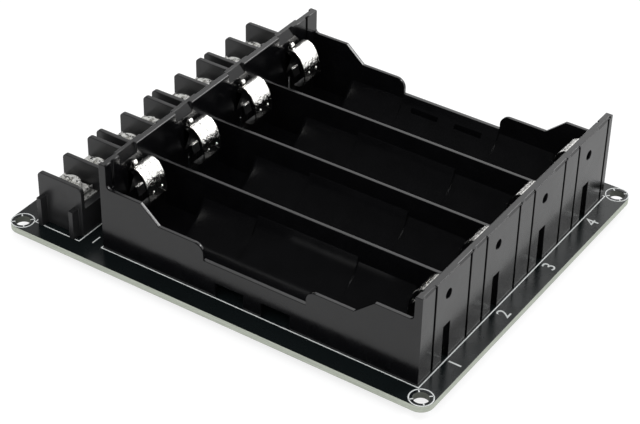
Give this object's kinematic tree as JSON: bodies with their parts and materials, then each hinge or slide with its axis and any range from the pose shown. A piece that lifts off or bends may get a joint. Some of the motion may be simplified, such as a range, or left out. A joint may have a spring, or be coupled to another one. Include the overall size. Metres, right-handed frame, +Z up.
{
  "type": "cylindrical cell holder",
  "caption": "Board-mounted holder with open moulded bays for cylindrical cells, bent leaf contacts at both ends and a row of barrier screw terminals.",
  "frame": {"origin": "centre of the board's outline in X and Y, at the tips of the pins below the board in Z", "axes": "+X from the screw terminals along the cells, +Y across the bays, +Z up from the board"},
  "size_m": [0.1054, 0.0874, 0.0248],
  "materials": {
    "board_black": "black solder mask over glass-fibre laminate, semi-gloss",
    "tray_plastic": "black moulded plastic with a fine satin texture",
    "block_plastic": "black moulded plastic, satin",
    "contact_nickel": "bright nickel-plated spring steel",
    "plate_tin": "tin-plated, satin",
    "washer_nickel": "nickel-plated, slightly worn",
    "screw_nickel": "nickel-plated steel",
    "solder_grey": "solder, bright grey"
  },
  "bodies": {
    "holder": {"circuit_board": "board_black", "cell_tray": "tray_plastic", "contact_left_1": "contact_nickel", "contact_left_2": "contact_nickel", "contact_left_3": "contact_nickel", "contact_left_4": "contact_nickel", "contact_right_1": "contact_nickel", "contact_right_2": "contact_nickel", "contact_right_3": "contact_nickel", "contact_right_4": "contact_nickel", "terminal_block_1": "block_plastic", "terminal_block_2": "block_plastic", "terminal_block_3": "block_plastic", "terminal_block_4": "block_plastic", "terminal_plate_1": "plate_tin", "terminal_plate_2": "plate_tin", "terminal_plate_3": "plate_tin", "terminal_plate_4": "plate_tin", "terminal_plate_5": "plate_tin", "terminal_plate_6": "plate_tin", "terminal_plate_7": "plate_tin", "terminal_plate_8": "plate_tin", "contact_solder": "solder_grey", "terminal_solder": "solder_grey"},
    "washer_1": {"clamp_washer_1": "washer_nickel"},
    "screw_1": {"terminal_screw_1": "screw_nickel"},
    "washer_2": {"clamp_washer_2": "washer_nickel"},
    "screw_2": {"terminal_screw_2": "screw_nickel"},
    "washer_3": {"clamp_washer_3": "washer_nickel"},
    "screw_3": {"terminal_screw_3": "screw_nickel"},
    "washer_4": {"clamp_washer_4": "washer_nickel"},
    "screw_4": {"terminal_screw_4": "screw_nickel"},
    "washer_5": {"clamp_washer_5": "washer_nickel"},
    "screw_5": {"terminal_screw_5": "screw_nickel"},
    "washer_6": {"clamp_washer_6": "washer_nickel"},
    "screw_6": {"terminal_screw_6": "screw_nickel"},
    "washer_7": {"clamp_washer_7": "washer_nickel"},
    "screw_7": {"terminal_screw_7": "screw_nickel"},
    "washer_8": {"clamp_washer_8": "washer_nickel"},
    "screw_8": {"terminal_screw_8": "screw_nickel"}
  },
  "joints": [
    {"name": "washer_rise_1", "type": "slide", "parent": "holder", "child": "washer_1", "axis": [0, 0, 1], "range_m": [0, 0.002]},
    {"name": "screw_turn_1", "type": "hinge", "parent": "washer_1", "child": "screw_1", "pos_m": [-0.0429, -0.03352, 0.0089], "axis": [0, 0, 1], "range_deg": [0, 1440]},
    {"name": "washer_rise_2", "type": "slide", "parent": "holder", "child": "washer_2", "axis": [0, 0, 1], "range_m": [0, 0.002]},
    {"name": "screw_turn_2", "type": "hinge", "parent": "washer_2", "child": "screw_2", "pos_m": [-0.0429, -0.02527, 0.0089], "axis": [0, 0, 1], "range_deg": [0, 1440]},
    {"name": "washer_rise_3", "type": "slide", "parent": "holder", "child": "washer_3", "axis": [0, 0, 1], "range_m": [0, 0.002]},
    {"name": "screw_turn_3", "type": "hinge", "parent": "washer_3", "child": "screw_3", "pos_m": [-0.0429, -0.01392, 0.0089], "axis": [0, 0, 1], "range_deg": [0, 1440]},
    {"name": "washer_rise_4", "type": "slide", "parent": "holder", "child": "washer_4", "axis": [0, 0, 1], "range_m": [0, 0.002]},
    {"name": "screw_turn_4", "type": "hinge", "parent": "washer_4", "child": "screw_4", "pos_m": [-0.0429, -0.00568, 0.0089], "axis": [0, 0, 1], "range_deg": [0, 1440]},
    {"name": "washer_rise_5", "type": "slide", "parent": "holder", "child": "washer_5", "axis": [0, 0, 1], "range_m": [0, 0.002]},
    {"name": "screw_turn_5", "type": "hinge", "parent": "washer_5", "child": "screw_5", "pos_m": [-0.0429, 0.00568, 0.0089], "axis": [0, 0, 1], "range_deg": [0, 1440]},
    {"name": "washer_rise_6", "type": "slide", "parent": "holder", "child": "washer_6", "axis": [0, 0, 1], "range_m": [0, 0.002]},
    {"name": "screw_turn_6", "type": "hinge", "parent": "washer_6", "child": "screw_6", "pos_m": [-0.0429, 0.01392, 0.0089], "axis": [0, 0, 1], "range_deg": [0, 1440]},
    {"name": "washer_rise_7", "type": "slide", "parent": "holder", "child": "washer_7", "axis": [0, 0, 1], "range_m": [0, 0.002]},
    {"name": "screw_turn_7", "type": "hinge", "parent": "washer_7", "child": "screw_7", "pos_m": [-0.0429, 0.02527, 0.0089], "axis": [0, 0, 1], "range_deg": [0, 1440]},
    {"name": "washer_rise_8", "type": "slide", "parent": "holder", "child": "washer_8", "axis": [0, 0, 1], "range_m": [0, 0.002]},
    {"name": "screw_turn_8", "type": "hinge", "parent": "washer_8", "child": "screw_8", "pos_m": [-0.0429, 0.03352, 0.0089], "axis": [0, 0, 1], "range_deg": [0, 1440]}
  ],
  "couplings": [
    {"joint": "screw_turn_1", "follows": "washer_rise_1", "rad_per_m": 12566},
    {"joint": "screw_turn_2", "follows": "washer_rise_2", "rad_per_m": 12566},
    {"joint": "screw_turn_3", "follows": "washer_rise_3", "rad_per_m": 12566},
    {"joint": "screw_turn_4", "follows": "washer_rise_4", "rad_per_m": 12566},
    {"joint": "screw_turn_5", "follows": "washer_rise_5", "rad_per_m": 12566},
    {"joint": "screw_turn_6", "follows": "washer_rise_6", "rad_per_m": 12566},
    {"joint": "screw_turn_7", "follows": "washer_rise_7", "rad_per_m": 12566},
    {"joint": "screw_turn_8", "follows": "washer_rise_8", "rad_per_m": 12566}
  ]
}
